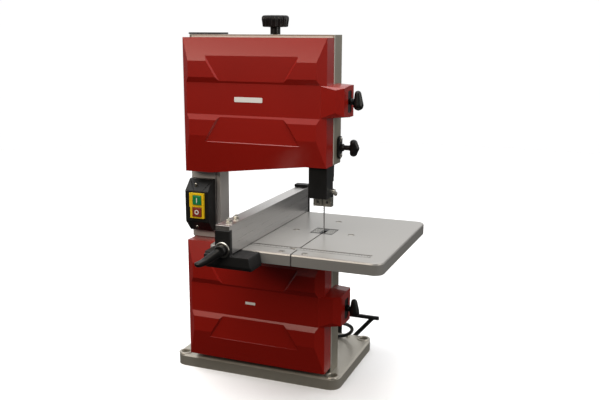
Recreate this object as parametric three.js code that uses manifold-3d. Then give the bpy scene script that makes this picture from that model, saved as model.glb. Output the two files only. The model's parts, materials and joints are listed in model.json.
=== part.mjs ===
// Bench-top band saw, millimetres, +Z up.
// The pieces are drawn about the blade: X = 0 is the plane of the cutting run (+X to the right), Y = 0 is the
// front rim of the sheet-steel frame (+Y to the rear) and Z = 0 is the bench. A group then moves the whole saw so
// that the origin is the centre of the underside of the base.
import * as THREE from 'three';
import { mergeVertices } from 'three/addons/utils/BufferGeometryUtils.js';
import { ConvexGeometry } from 'three/addons/geometries/ConvexGeometry.js';
import Module from 'manifold-3d';

const wasm = await Module();
wasm.setup();

// ---------------------------------------------------------------- driving dimensions

const GAP = 0.3; // between pieces that touch
const SHEET = 2; // frame sheet

const BLADE = { width: 6.5, thick: 0.5, y: 4 };
const WHEEL = { r: 103, width: 15, tyre: 3, sides: 40, lowerZ: 145.2, upperZ: 520.8 };
const BLADE_R = WHEEL.r + 0.5; // inside of the blade loop round a wheel
const WHEEL_X = -BLADE_R - BLADE.thick / 2; // puts the cutting run at X = 0
const RETURN_X = WHEEL_X * 2; // the run that goes up through the column

const BASE = { x0: -297, x1: 39, y0: -24, y1: 200, height: 22, corner: 20 };
const BOLT = { inset: 15, r: 3.5, seatR: 8, seatDepth: 6 };
const FRAME = { x0: -262, x1: 17, depth: 41, top: 637, throat: 391, throatRight: 412.5, lowerTop: 260 };
const SLOPE = { x0: -205, x1: -22 }; // where the underside of the upper housing rises
const COLUMN = { x1: -202, front: -5 };

const DOOR = { back: -0.5, rim: -35, face: -46, band: -42, recess: -43.5, wall: 3 };
const HINGE = { x: -265.5, y: -5, r: 3, pin: 1.5 };
const UPPER_HINGES = [430, 590];
const LOWER_HINGES = [60, 210];
const LATCH_Y = 2;
const BAND = { upper: 525.5, lower: 153 }; // mid height of each door's band, ear and latch

const TABLE = { x: 152, y0: -154, y1: 150, top: 290, skirt: 270, plate: 6, corner: 16 };
const TILT_ARC = 60; // radius of the tilt slot about the table's pivot line
const TRUNNION_Y = 52;

const FENCE = { x0: -112, x1: -87, y0: -190, y1: 152, z0: 290.5, z1: 339 };
const DUST_AT = [-215, 72];
const LEVER = { x: -99.5, z: 299 };

const MOTOR = { r: 50, back: 142, fanBack: 186 };
const TENSION_Y = 27.5;
const TILT_PIVOT_Y = 20;
const TRACKING_Z = 506;

const POST = { x0: -6, x1: 8, y0: 12.5, y1: 20.5, bottom: 381, top: 598 };
const RACK = { pitchY: 23.5, module: 1, teeth: 12, z: 441 };
const BEARING = { x: 6.2, r: 6.5, y0: 7.55, y1: 11.5 };

const LEAD_R = 3.5;
const TERMINAL = { x: -98, y: 115, z: 71.7 }; // the gland's face on the motor's terminal box
const COIL = { x: -165, y: 260, r: 37, half: 10.5, height: 29 };
const PLUG = { y: COIL.y - 44, boot: COIL.x - 26.2 }; // the lead comes out of the coil's outer turn at this Y

// ---------------------------------------------------------------- solids

function solid(geometry) {
  const g = geometry.index ? geometry.toNonIndexed() : geometry;
  g.deleteAttribute('normal');
  g.deleteAttribute('uv');
  const merged = mergeVertices(g, 1e-4);
  const all = merged.index.array;
  const kept = [];
  for (let i = 0; i < all.length; i += 3) {
    const [a, b, c] = all.slice(i, i + 3);
    if (a !== b && b !== c && c !== a) kept.push(a, b, c);
  }
  const vertProperties = merged.attributes.position.array;
  return new wasm.Manifold(new wasm.Mesh({ numProp: 3, vertProperties, triVerts: new Uint32Array(kept) }));
}

const union = (...parts) => parts.reduce((whole, part) => whole.add(part));
const cut = (whole, ...parts) => parts.reduce((left, part) => left.subtract(part), whole);

function box(x0, x1, y0, y1, z0, z1) {
  const g = new THREE.BoxGeometry(x1 - x0, y1 - y0, z1 - z0);
  return solid(g.translate((x0 + x1) / 2, (y0 + y1) / 2, (z0 + z1) / 2));
}

// Turns a shape's own axes (u, v, and w along its height) to the axes of the saw, each with u x v = w.
const TURN = {
  x: new THREE.Matrix4().makeBasis(vec(0, 1, 0), vec(0, 0, 1), vec(1, 0, 0)),
  y: new THREE.Matrix4().makeBasis(vec(0, 0, 1), vec(1, 0, 0), vec(0, 1, 0)),
  z: new THREE.Matrix4(),
};

function vec(x, y, z) {
  return new THREE.Vector3(x, y, z);
}

function vec2(u, v) {
  return new THREE.Vector2(u, v);
}

// A prism along an axis. Its outline is in the other two axes: (y, z) for x, (x, z) for y, (x, y) for z.
function prism(axis, outline, from, to) {
  const shape = new THREE.Shape(outline.map(([u, v]) => (axis === 'y' ? vec2(v, u) : vec2(u, v))));
  const g = new THREE.ExtrudeGeometry(shape, { depth: to - from, bevelEnabled: false });
  return solid(g.translate(0, 0, from).applyMatrix4(TURN[axis]));
}

// A cylinder or cone along an axis through (u, v): (y, z) for x, (x, z) for y, (x, y) for z.
function rod(axis, [u, v], from, to, r, { r2 = r, sides = 24 } = {}) {
  const g = new THREE.CylinderGeometry(r2, r, to - from, sides);
  g.rotateX(Math.PI / 2);
  const [a, b] = axis === 'y' ? [v, u] : [u, v];
  return solid(g.translate(a, b, (from + to) / 2).applyMatrix4(TURN[axis]));
}

// A body of revolution. The profile lists (radius, distance along the axis), and is closed unless it ends on
// the axis.
function turned(axis, [u, v], profile, sides = 48) {
  const line = profile[0][0] === 0 ? profile : [...profile, profile[0]];
  const g = new THREE.LatheGeometry(line.map(([r, w]) => vec2(r, w)), sides);
  g.rotateX(Math.PI / 2);
  const [a, b] = axis === 'y' ? [v, u] : [u, v];
  const made = solid(g.translate(a, b, 0).applyMatrix4(TURN[axis]));
  if (made.volume() > 0) return made;
  return turned(axis, [u, v], [...profile].reverse(), sides);
}

const convex = (points) => solid(new ConvexGeometry(points));

// The convex hull of outlines laid at heights along an axis: [[outline, height], ...].
function stack(axis, layers) {
  const place = (u, v, w) => ({ x: vec(w, u, v), y: vec(u, w, v), z: vec(u, v, w) })[axis];
  return convex(layers.flatMap(([outline, w]) => outline.map(([u, v]) => place(u, v, w))));
}

function rectangle(u0, u1, v0, v1) {
  return [[u0, v0], [u1, v0], [u1, v1], [u0, v1]];
}

function roundedRectangle(u0, u1, v0, v1, r, steps = 6) {
  const corners = [[u1 - r, v1 - r], [u0 + r, v1 - r], [u0 + r, v0 + r], [u1 - r, v0 + r]];
  return corners.flatMap(([u, v], quarter) =>
    Array.from({ length: steps + 1 }, (_, i) => {
      const angle = ((quarter + i / steps) * Math.PI) / 2;
      return [u + r * Math.cos(angle), v + r * Math.sin(angle)];
    }),
  );
}

function arc([u, v], r, from, to, steps) {
  return Array.from({ length: steps + 1 }, (_, i) => {
    const angle = THREE.MathUtils.degToRad(from + ((to - from) * i) / steps);
    return [u + r * Math.cos(angle), v + r * Math.sin(angle)];
  });
}

// An outline moved inwards by a distance, for a convex or nearly convex outline that runs anticlockwise.
function inset(outline, distance) {
  const count = outline.length;
  return outline.map((point, i) => {
    const before = outline[(i + count - 1) % count];
    const after = outline[(i + 1) % count];
    const [ax, ay] = unit(point[0] - before[0], point[1] - before[1]);
    const [bx, by] = unit(after[0] - point[0], after[1] - point[1]);
    const scale = distance / (1 + ax * bx + ay * by);
    return [point[0] - (ay + by) * scale, point[1] + (ax + bx) * scale];
  });
}

function unit(x, y) {
  const length = Math.hypot(x, y);
  return [x / length, y / length];
}

// A round bar along a smooth curve through points.
function bar(points, r, { sides = 10, steps = 40, tension = 0.5 } = {}) {
  const curve = new THREE.CatmullRomCurve3(points.map((p) => vec(...p)), false, 'centripetal', tension);
  const ring = arc([0, 0], r, 0, 360 - 360 / sides, sides - 1);
  const section = new THREE.Shape(ring.map(([u, v]) => vec2(u, v)));
  return solid(new THREE.ExtrudeGeometry(section, { steps, extrudePath: curve }));
}

// The points of an egg: a sphere stretched to its three radii.
function egg([x, y, z], rx, ry, rz) {
  const g = new THREE.IcosahedronGeometry(1, 1);
  const at = g.attributes.position;
  const point = (_, i) => vec(x + rx * at.getX(i), y + ry * at.getY(i), z + rz * at.getZ(i));
  return Array.from({ length: at.count }, point);
}

// ---------------------------------------------------------------- finishes and the scene

const FINISH = {
  red: { color: 0x8c1a14, roughness: 0.28, metalness: 0 },
  silver: { color: 0x98948a, roughness: 0.45, metalness: 0.35 },
  aluminium: { color: 0xa9a7a3, roughness: 0.35, metalness: 0.9 },
  steel: { color: 0x8f9092, roughness: 0.3, metalness: 1 },
  black: { color: 0x17171a, roughness: 0.5, metalness: 0 },
  rubber: { color: 0x101012, roughness: 0.8, metalness: 0 },
  yellow: { color: 0xf2c010, roughness: 0.4, metalness: 0 },
  green: { color: 0x0e7040, roughness: 0.4, metalness: 0 },
  stopRed: { color: 0x96261c, roughness: 0.4, metalness: 0 },
};

const saw = new THREE.Group();
saw.position.set(-(BASE.x0 + BASE.x1) / 2, -(BASE.y0 + BASE.y1) / 2, 0);

function add(name, made, finish) {
  const { vertProperties, triVerts } = made.getMesh();
  const g = new THREE.BufferGeometry();
  g.setAttribute('position', new THREE.BufferAttribute(new Float32Array(vertProperties), 3));
  g.setIndex(new THREE.BufferAttribute(new Uint32Array(triVerts), 1));
  g.computeVertexNormals();
  const mesh = new THREE.Mesh(g, new THREE.MeshStandardMaterial(FINISH[finish]));
  mesh.name = name;
  saw.add(mesh);
}

// ---------------------------------------------------------------- base

// A cast tray: its rim and a grid of ribs stand on the bench, and each solid corner has a bolt hole in a round
// seat.
function base() {
  const { x0, x1, y0, y1, height, corner } = BASE;
  const outline = roundedRectangle(x0, x1, y0, y1, corner, 5);
  const body = stack('z', [[outline, 0], [outline, height - 3], [inset(outline, 3), height]]);
  const rim = 6;
  const rib = 4;
  const columns = 6;
  const rows = 4;
  const pitchX = (x1 - x0 - 2 * rim + rib) / columns;
  const pitchY = (y1 - y0 - 2 * rim + rib) / rows;
  const pockets = [];
  for (let column = 0; column < columns; column += 1) {
    for (let row = 0; row < rows; row += 1) {
      const isCorner = column % (columns - 1) === 0 && row % (rows - 1) === 0;
      const x = x0 + rim + column * pitchX;
      const y = y0 + rim + row * pitchY;
      if (!isCorner) pockets.push(box(x, x + pitchX - rib, y, y + pitchY - rib, -1, height - 4));
    }
  }
  const seats = [];
  for (const x of [x0 + BOLT.inset, x1 - BOLT.inset]) {
    for (const y of [y0 + BOLT.inset, y1 - BOLT.inset]) {
      seats.push(rod('z', [x, y], height - BOLT.seatDepth, height + 1, BOLT.seatR));
      seats.push(rod('z', [x, y], -1, height, BOLT.r, { sides: 16 }));
    }
  }
  add('base_plate', cut(body, ...pockets, ...seats), 'silver');
}

// ---------------------------------------------------------------- frame

function upperOutline() {
  const { x0, x1, throat, throatRight, top } = FRAME;
  return [[x0, throat], [SLOPE.x0, throat], [SLOPE.x1, throatRight], [x1, throatRight], [x1, top], [x0, top]];
}

// A folded sheet tray, open to the front.
function tray(outline) {
  const shell = prism('y', outline, 0, FRAME.depth);
  return cut(shell, prism('y', inset(outline, SHEET), -1, FRAME.depth - SHEET));
}

// The fixed half of a lift-off door hinge: a lug on the side of the frame with its pin standing up.
function hingeLug(z) {
  const { x, y, r, pin } = HINGE;
  return union(
    box(x, FRAME.x0 + 1, -3, 8, z, z + 10),
    box(x, FRAME.x0 - GAP, y - r, 0, z, z + 10),
    rod('z', [x, y], z, z + 10, r, { sides: 16 }),
    rod('z', [x, y], z + 5, z + 20, pin, { sides: 12 }),
  );
}

// The door's half: a knuckle that drops over the pin.
function hingeKnuckle(z) {
  const { x, y, r, pin } = HINGE;
  const from = z + 10.4;
  const to = z + 21;
  const arm = box(x, FRAME.x0 + 7, y - r, y + 1.5, from, to);
  const knuckle = union(rod('z', [x, y], from, to, r, { sides: 16 }), arm);
  return cut(knuckle, rod('z', [x, y], from - 1, to + 1, pin + GAP, { sides: 12 }));
}

// The tab on the side of the frame that a turned latch tongue hooks behind.
function latchCatch(z) {
  return union(
    box(FRAME.x1 - 1, FRAME.x1 + 3, -6, 12, z + 7, z + 16),
    box(FRAME.x1 + GAP, FRAME.x1 + 12, -6, -3, z + 7, z + 16),
  );
}

function upperHousing() {
  const outline = upperOutline();
  const body = union(tray(outline), ...UPPER_HINGES.map(hingeLug), latchCatch(BAND.upper));
  add('upper_housing', cut(
    body,
    box(-259, -203, -1, 30, 385, 397), // way through for the blade's return run
    box(-24, 14.9, -1, 28, 405, 420), // for its cutting run, the guard and the guide post
    rod('z', [WHEEL_X, TENSION_Y], 630, 640, 5), // for the tension screw
    box(WHEEL_X - 6, WHEEL_X + 6, 36, 44, TRACKING_Z - 12, TRACKING_Z + 8), // for the tracking screw
    rod('x', [29.5, RACK.z], 10, 20, 5), // for the pinion shaft
  ), 'silver');
}

function lowerHousing() {
  const outline = rectangle(FRAME.x0, FRAME.x1, BASE.height + GAP, FRAME.lowerTop);
  const body = union(tray(outline), ...LOWER_HINGES.map(hingeLug), latchCatch(BAND.lower));
  add('lower_housing', cut(
    body,
    box(-259, -204, -1, 30, 255, 262), // way through for the blade's return run
    box(-6, 6, -1, 12, 255, 262), // for its cutting run
    rod('y', [WHEEL_X, WHEEL.lowerZ], 36, 44, 12), // for the motor shaft
    rod('y', DUST_AT, 36, 44, 17.5), // for the sawdust
  ), 'silver');
}

// A folded channel that joins the two housings and carries the blade's return run inside it.
function column() {
  const { x1, front } = COLUMN;
  const { x0, depth, lowerTop, throat } = FRAME;
  const outer = [
    [x0, front + SHEET + GAP], [x0 + SHEET, front + SHEET + GAP],
    [x0 + SHEET, depth - SHEET], [x1 - 7, depth - SHEET],
    [x1 - SHEET, 29.6], [x1 - SHEET, front + SHEET], [x1 - 8.5, front + SHEET], [x1 - 8.5, front],
    [x1, front], [x1, 30], [x1 - 6, depth], [x0, depth],
  ];
  add('column', prism('z', outer, lowerTop + GAP, throat - GAP), 'silver');
  const cover = [
    [x0, front], [x1 - 10.5, front], [x1 - 10.5, front + 8], [x1 - 12.5, front + 8],
    [x1 - 12.5, front + SHEET], [x0, front + SHEET],
  ];
  add('column_cover', prism('z', cover, lowerTop + GAP, throat - GAP), 'silver');
  const pad = roundedRectangle(-264, -190, -1, 38, 6, 3);
  add('top_pad', prism('z', pad, FRAME.top + GAP, FRAME.top + 3.5), 'black');
}

// The flanged spigot on the back of the lower housing that a suction hose slides over.
function dustPort() {
  add('dust_port', turned('y', DUST_AT, [
    [17.5, FRAME.depth + GAP], [25, FRAME.depth + GAP], [25, FRAME.depth + 3.5], [20, FRAME.depth + 3.5],
    [19.2, 82], [17.5, 82],
  ], 24), 'black');
}

// ---------------------------------------------------------------- doors

// A moulded shell door. Two raised blocks, each with a bevelled edge and a sunk trapezoid, stand either side of a
// sunk band that runs out into the latch ear. The facets are mirrored about the band.
function door(name, outline, { bandZ, earRise }, lugs, notch) {
  const { x0, x1 } = FRAME;
  const left = x0 + 5;
  const mid = (left + x1) / 2;
  const top = Math.max(...outline.map(([, z]) => z));
  const bottom = Math.min(...outline.map(([, z]) => z));
  const faceHalf = (x1 - left) / 2 - 15;
  const faceTop = Math.min(bandZ + 66, top - 28);
  const faceBottom = Math.max(bandZ - 66, bottom + 30);
  const face = rectangle(mid - faceHalf, mid + faceHalf, faceBottom, faceTop);
  const skin = union(
    prism('y', outline, DOOR.rim, DOOR.back),
    stack('y', [[outline, DOOR.rim], [face, DOOR.face]]).intersect(prism('y', outline, DOOR.face - 1, DOOR.back)),
  );
  const band = prism('x', [
    [DOOR.face - 6, bandZ - 52], [DOOR.band, bandZ - 28], [DOOR.band, bandZ + 28], [DOOR.face - 6, bandZ + 52],
  ], x0 - 10, x1 + 60);
  const sunk = [1, -1].map((way) => {
    const corners = [[-60, 30], [60, 30], [89, 76], [-89, 76]].map(([x, z]) => [mid + x, bandZ + way * z]);
    const ordered = way > 0 ? corners : corners.reverse();
    return stack('y', [[ordered, DOOR.recess], [inset(ordered, -6), DOOR.face - 3]]);
  });
  const hollow = union(
    prism('y', inset(outline, DOOR.wall), DOOR.rim + DOOR.wall, 1),
    stack('y', [
      [inset(outline, DOOR.wall + 1), DOOR.rim + DOOR.wall],
      [rectangle(mid - faceHalf + 3, mid + faceHalf - 3, faceBottom - 10, faceTop + 10), DOOR.band + DOOR.wall],
    ]).intersect(prism('y', inset(outline, DOOR.wall), DOOR.face, 0)),
  );
  const ear = latchEar(bandZ, earRise);
  const shell = cut(union(cut(skin, band, ...sunk), ear), hollow, earHollow(bandZ));
  const withLugs = union(shell, ...lugs.map(hingeKnuckle));
  add(name, cut(withLugs, ...notch), 'red');
}

// The ear reaches out past the side of the frame and back along it, so that the latch works beside the frame.
function latchEar(z, rise) {
  const back = DOOR.back;
  const front = convex([
    vec(4, DOOR.band, z + 28), vec(4, DOOR.band, z - 28), vec(33, -37, z + 17 + rise), vec(33, -37, z - 17),
    vec(46, -29, z + 20 + rise), vec(46, -29, z - 24), vec(46, back, z + 23 + rise), vec(46, back, z - 27),
    vec(4, back, z + 26 + rise), vec(4, back, z - 29),
  ]);
  const rear = convex([
    [FRAME.x1 + 0.5, z + 25 + rise], [FRAME.x1 + 0.5, z - 28], [46, z + 23 + rise], [46, z - 27],
  ].flatMap(([x, height]) => [vec(x, back - 0.5, height), vec(x, 22, height)]));
  return union(front, rear);
}

function slotOutline(z) {
  return roundedRectangle(-9, 11, z - 19.5, z + 18.5, 3, 3);
}

function earHollow(z) {
  return union(box(FRAME.x1 - 7.5, 43, -24, 23, z - 21, z + 19), prism('x', slotOutline(z), 42, 47));
}

function doors() {
  const x0 = FRAME.x0 + 5;
  const { x1, throat, throatRight } = FRAME;
  const upper = [
    [x0, throat], [SLOPE.x0, throat], [SLOPE.x1, throatRight], [x1, throatRight], [x1, 632], [x0, 632],
  ];
  const guardNotch = box(-24.5, 13.8, -24, 1, 404, 417);
  door('upper_door', upper, { bandZ: BAND.upper, earRise: 4 }, UPPER_HINGES, [guardNotch]);
  const lower = rectangle(x0, x1, BASE.height + 12, FRAME.lowerTop);
  door('lower_door', lower, { bandZ: BAND.lower, earRise: 10 }, LOWER_HINGES, []);
}

// Latch: a plate in the ear's slot, a knob on its stem, and the tongue that turns behind the catch.
function latch(prefix, z) {
  const axis = [LATCH_Y, z];
  const plate = prism('x', inset(slotOutline(z), GAP), 43.1, 44.9);
  add(`${prefix}_latch_plate`, cut(plate, rod('x', axis, 42, 46, 4.3, { sides: 20 })), 'black');
  const grip = convex([...egg([61, LATCH_Y, z - 6], 9.5, 8, 9.5), ...egg([60, LATCH_Y, z + 13], 6, 6, 6)]);
  const stem = union(
    rod('x', axis, 45.4, 51, 6, { sides: 20 }),
    rod('x', axis, 30, 58, 4, { sides: 20 }),
  );
  add(`${prefix}_latch_knob`, union(grip, stem), 'black');
  const hub = rod('x', axis, 23.5, 29.7, 6, { sides: 20 });
  add(`${prefix}_latch_tongue`, union(hub, box(24.5, 28.5, LATCH_Y, LATCH_Y + 14, z - 3, z + 3)), 'steel');
}

// ---------------------------------------------------------------- wheels, blade and tensioning

// A cast wheel with a webbed rim, six round windows and a rubber tyre.
function bandWheel(prefix, z) {
  const axis = [WHEEL_X, z];
  const front = BLADE.y - WHEEL.width / 2;
  const back = BLADE.y + WHEEL.width / 2;
  const rim = WHEEL.r - WHEEL.tyre - GAP;
  const web = 2.5;
  const wheel = turned('y', axis, [
    [6.3, front], [16, front], [16, BLADE.y - web], [91, BLADE.y - web], [93, front], [rim, front],
    [rim, back], [93, back], [91, BLADE.y + web], [16, BLADE.y + web], [16, back], [6.3, back],
  ], WHEEL.sides);
  const windows = Array.from({ length: 6 }, (_, i) => {
    const angle = (i * Math.PI) / 3;
    const centre = [WHEEL_X + 54 * Math.cos(angle), z + 54 * Math.sin(angle)];
    return rod('y', centre, front - 1, back + 1, 19, { sides: 14 });
  });
  add(`${prefix}_wheel`, cut(wheel, ...windows), 'aluminium');
  add(`${prefix}_tyre`, turned('y', axis, [
    [rim + GAP, front], [WHEEL.r, front], [WHEEL.r, back], [rim + GAP, back],
  ], WHEEL.sides), 'rubber');
}

// The endless band: two half turns round the wheels joined by its cutting run and its return run.
function blade() {
  const loop = (r) => [
    ...arc([WHEEL_X, WHEEL.upperZ], r, 0, 180, 28),
    ...arc([WHEEL_X, WHEEL.lowerZ], r, 180, 360, 28),
  ];
  const half = BLADE.width / 2;
  const outside = prism('y', loop(BLADE_R + BLADE.thick), BLADE.y - half, BLADE.y + half);
  add('saw_blade', cut(outside, prism('y', loop(BLADE_R), BLADE.y - half - 1, BLADE.y + half + 1)), 'steel');
}

// The motor stands on the back of the lower housing and drives the lower wheel directly.
function motor() {
  const axis = [WHEEL_X, WHEEL.lowerZ];
  const { r, back, fanBack } = MOTOR;
  const start = FRAME.depth + GAP;
  const body = turned('y', axis, [
    [0, 64], [7, 64], [7, start], [58, start], [58, start + 5], [r, start + 7], [r, back], [0, back],
  ]);
  const terminalBox = box(TERMINAL.x - 32, TERMINAL.x, TERMINAL.y - 19, TERMINAL.y + 19, TERMINAL.z - 13, 104);
  add('motor_housing', union(body, terminalBox), 'black');
  add('motor_fan_cover', turned('y', axis, [
    [0, back + GAP], [r + 2, back + GAP], [r + 2, fanBack - 9], [r - 8, fanBack], [0, fanBack],
  ]), 'black');
  add('motor_shaft', union(
    rod('y', axis, -5, 62, 6),
    rod('y', axis, -8, -4.3, 10, { sides: 6 }),
  ), 'steel');
}

// The upper wheel turns on an arm that tips in a carriage; the carriage rides up and down in a channel.
function tensioning() {
  const x = WHEEL_X;
  const z = WHEEL.upperZ;
  add('axle_arm', union(
    box(x - 13, x + 13, 13.5, 20.5, z - 24, z + 24),
    rod('y', [x, z], -5, 14, 6),
    rod('y', [x, z], -8, -4.3, 10, { sides: 6 }),
  ), 'steel');
  const channel = box(x - 24, x + 24, 24, FRAME.depth - SHEET - GAP, 484, 612);
  add('carriage_channel', cut(
    channel,
    box(x - 19, x + 19, 27, 34.2, 480, 604),
    box(x - 13.5, x + 13.5, 20, 28, 480, 604),
    box(x - 7, x + 7, 33, 42, TRACKING_Z - 12, TRACKING_Z + 8),
    rod('z', [x, TENSION_Y], 600, 620, 4.5),
    box(x - 13.5, x + 13.5, 20, 30, 602, 605),
  ), 'steel');
  add('wheel_carriage', cut(
    union(box(x - 18.6, x + 18.6, 27.4, 33.6, 492, 560), box(x - 13, x + 13, 22, 28, 492, 560)),
    rod('z', [x, TENSION_Y], 538, 561, 4.4),
    rod('y', [x, TRACKING_Z], 20, 36, 3.4, { sides: 16 }),
  ), 'steel');
  const turns = 5;
  const springR = 5.5;
  const coil = Array.from({ length: turns * 8 + 1 }, (_, i) => {
    const angle = (i * Math.PI) / 4;
    const z = 562 + (i * 34) / (turns * 8);
    return [x + springR * Math.cos(angle), TENSION_Y + springR * Math.sin(angle), z];
  });
  add('tension_spring', bar(coil, 1.2, { sides: 5, steps: turns * 9 }), 'steel');
  add('tension_screw', rod('z', [x, TENSION_Y], 542, FRAME.top + 8, 4, { sides: 20 }), 'steel');
  tensionKnob(x);
  trackingKnob(x);
}

// A knob with a fluted grip on a plain stem.
function tensionKnob(x) {
  const flutes = 16;
  const grip = (r) => Array.from({ length: flutes * 4 }, (_, i) => {
    const angle = (i * Math.PI * 2) / (flutes * 4);
    const reach = r + 0.9 * Math.cos(flutes * angle);
    return [x + reach * Math.cos(angle), TENSION_Y + reach * Math.sin(angle)];
  });
  const { top } = FRAME;
  const body = union(
    rod('z', [x, TENSION_Y], top + GAP, top + 14, 8.5),
    prism('z', grip(23.6), top + 13.5, top + 31),
    rod('z', [x, TENSION_Y], top + 30.5, top + 33.5, 22, { r2: 17, sides: 32 }),
  );
  add('tension_knob', cut(body, rod('z', [x, TENSION_Y], top, top + 8 + GAP, 4 + GAP, { sides: 20 })), 'black');
}

function trackingKnob(x) {
  const axis = [x, TRACKING_Z];
  const lobes = 6;
  const grip = Array.from({ length: lobes * 8 }, (_, i) => {
    const angle = (i * Math.PI) / (lobes * 4);
    const reach = 15.5 + 1.5 * Math.cos(lobes * angle);
    return [x + reach * Math.cos(angle), TRACKING_Z + reach * Math.sin(angle)];
  });
  add('tracking_knob', union(
    rod('y', axis, 21, 50, 3, { sides: 16 }),
    rod('y', axis, 43, 50, 7),
    prism('y', grip, 49.5, 61),
  ), 'black');
}

// ---------------------------------------------------------------- blade guides

// The square post carries the upper guides and the guard, and a pinion on the side knob raises it by its rack.
function upperGuide() {
  const { x0, x1, y0, y1, bottom, top } = POST;
  const pitch = Math.PI * RACK.module;
  const root = RACK.pitchY - 1.25;
  const teeth = [];
  for (let z = RACK.z - 14 * pitch; z < RACK.z + 20 * pitch; z += pitch) {
    teeth.push([root, z - 0.95], [RACK.pitchY + 0.8, z - 0.2], [RACK.pitchY + 0.8, z + 0.2], [root, z + 0.95]);
  }
  const first = teeth[0][1];
  const last = teeth[teeth.length - 1][1];
  const rack = prism('x', [[y1 - 1, first], ...teeth, [y1 - 1, last]], x0 + 2, x1 - 2);
  const cheek = box(x1 - 0.5, x1 + 4, y0 - 4, y1, bottom, 410);
  add('guide_post', union(box(x0, x1, y0, y1, bottom, top), rack, cheek), 'black');

  const slot = box(-1.5, 1.5, -15, 12.2, 350, 384);
  const arm = box(2, 13, 13, 17, 340, 358);
  const pin = rod('y', [BEARING.x, 347], 8.4, 13.5, 2.5, { sides: 16 });
  const body = box(-18, 10.4, -14, 21, 355.3, 380.7);
  add('guide_holder', union(cut(body, slot), arm, pin), 'black');
  add('guide_block_left', box(-17, -0.65, -6, 5.8, 339, 355), 'steel');
  add('guide_block_right', box(0.65, 17, -6, 5.8, 339, 355), 'steel');
  add('upper_thrust_bearing', thrustBearing(347), 'steel');
  guard();
}

function thrustBearing(z) {
  const { x, r, y0, y1 } = BEARING;
  return turned('y', [x, z], [[2.8, y0], [r, y0], [r, y1], [2.8, y1]], 24);
}

// A bent sheet in front of and beside the blade. Its left leaf stops short of the upper wheel.
function guard() {
  const front = box(-21, 13, -20, -18, 355, 466);
  const right = box(11, 13, -19, 8, 355, 466);
  const left = box(-21, -19, -19, 6, 355, 400);
  add('blade_guard', union(front, right, left), 'black');
}

function guideDrive() {
  const axis = [29.5, RACK.z];
  const { teeth, module } = RACK;
  const outline = Array.from({ length: teeth }, (_, i) => {
    const middle = 180 + (i * 360) / teeth + 180 / teeth;
    const at = (r, turn) => {
      const angle = THREE.MathUtils.degToRad(middle + turn);
      return [axis[0] + r * Math.cos(angle), axis[1] + r * Math.sin(angle)];
    };
    const pitchR = (teeth * module) / 2;
    return [at(pitchR - 1.3, -10), at(pitchR + 0.8, -2.4), at(pitchR + 0.8, 2.4), at(pitchR - 1.3, 10)];
  }).flat();
  add('guide_pinion', union(
    prism('x', outline, POST.x0 + 2.5, POST.x1 - 2.5),
    rod('x', axis, POST.x0, 22, 3, { sides: 16 }),
  ), 'steel');
  const x = FRAME.x1;
  const grip = convex([
    ...egg([x + 28, axis[0], axis[1] + 9.5], 7, 6.5, 6), ...egg([x + 28, axis[0], axis[1] - 9.5], 7, 6.5, 6),
    ...egg([x + 33, axis[0], axis[1]], 6, 6, 5.5),
  ]);
  add('guide_height_knob', cut(union(
    grip,
    rod('x', axis, x + 4.6, x + 29, 4.6),
    rod('x', axis, x + 4.6, x + 10, 7),
  ), rod('x', axis, x, 22 + GAP, 3 + GAP, { sides: 16 })), 'black');
  const flange = roundedRectangle(19.5, 39.5, axis[1] - 20.5, axis[1] + 20.5, 9.9, 5);
  const flangeHole = rod('x', axis, x, x + 5, 3.6, { sides: 20 });
  add('guide_knob_flange', cut(prism('x', flange, x + GAP, x + 4), flangeHole), 'black');
  const bracket = box(-9.5, 12.4, POST.y0 - 0.3, FRAME.depth - SHEET - GAP, 470, 500);
  add('post_bracket', cut(
    union(bracket, box(5, 12.4, POST.y0 - 1.6, POST.y0, 470, 500)),
    box(POST.x0 - GAP, POST.x1 + GAP, POST.y0 - GAP, 25, 465, 505),
    box(-12, 4.9, POST.y0 - 3, POST.y0 + 1, 465, 505),
  ), 'silver');
}

// Under the table a second pair of guides and a second thrust bearing steady the blade.
function lowerGuide() {
  const z0 = 233;
  const z1 = 255;
  const plate = box(-12, 14, 15, 19, z0, z1);
  const foot = box(-6, 6, 18, FRAME.depth - SHEET - GAP, z0 + 4, z1 - 4);
  const leftFinger = box(-12, -0.65, -3, 6, z0, z1);
  const rightFinger = box(0.65, 14, -3, 6, z0, z1);
  const links = [box(-12, -2, 5, 16, z0, z1), box(BEARING.x + BEARING.r + 0.4, 14, 5, 16, z0, z1)];
  const pin = rod('y', [BEARING.x, 244], 8.4, 15.5, 2.5, { sides: 16 });
  add('lower_guide_holder', union(plate, foot, leftFinger, rightFinger, ...links, pin), 'steel');
  add('lower_thrust_bearing', thrustBearing(244), 'steel');
}

// ---------------------------------------------------------------- table and fence

function table() {
  const { x, y0, y1, top, skirt, plate, corner } = TABLE;
  const outline = roundedRectangle(-x, x, y0, y1, corner, 8);
  const body = stack('z', [
    [outline, skirt], [outline, top - 3], [inset(outline, 0.9), top - 0.9], [inset(outline, 3), top],
  ]);
  const below = prism('z', inset(outline, 6), skirt - 1, top - plate);
  const scale = box(-89, 125, -125, -110, top - 0.8, top + 1);
  const slot = box(-1.25, 1.25, y0 - 1, 4, skirt - 1, top + 1);
  const insertSeat = box(-22, 20, -10, 30, top - 3 - GAP, top + 1);
  const insertHole = box(-17, 15, -6, 26, skirt, top + 1);
  const seats = [[-52, 2], [52, 2], [0, 87]];
  const screwSeats = seats.map((at) => rod('z', at, top - 1.6, top + 1, 6, { sides: 20 }));
  add('table', cut(body, below, scale, slot, insertSeat, insertHole, ...screwSeats), 'silver');

  const insert = box(-22 + GAP, 20 - GAP, -10 + GAP, 30 - GAP, top - 3, top - 0.2);
  const bladeSlot = prism('y', [[-1.3, top + 1], [-1.3, top - 4], [6, top - 4], [1.6, top + 1]], -12, 13);
  add('table_insert', cut(insert, bladeSlot), 'black');
}

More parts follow.
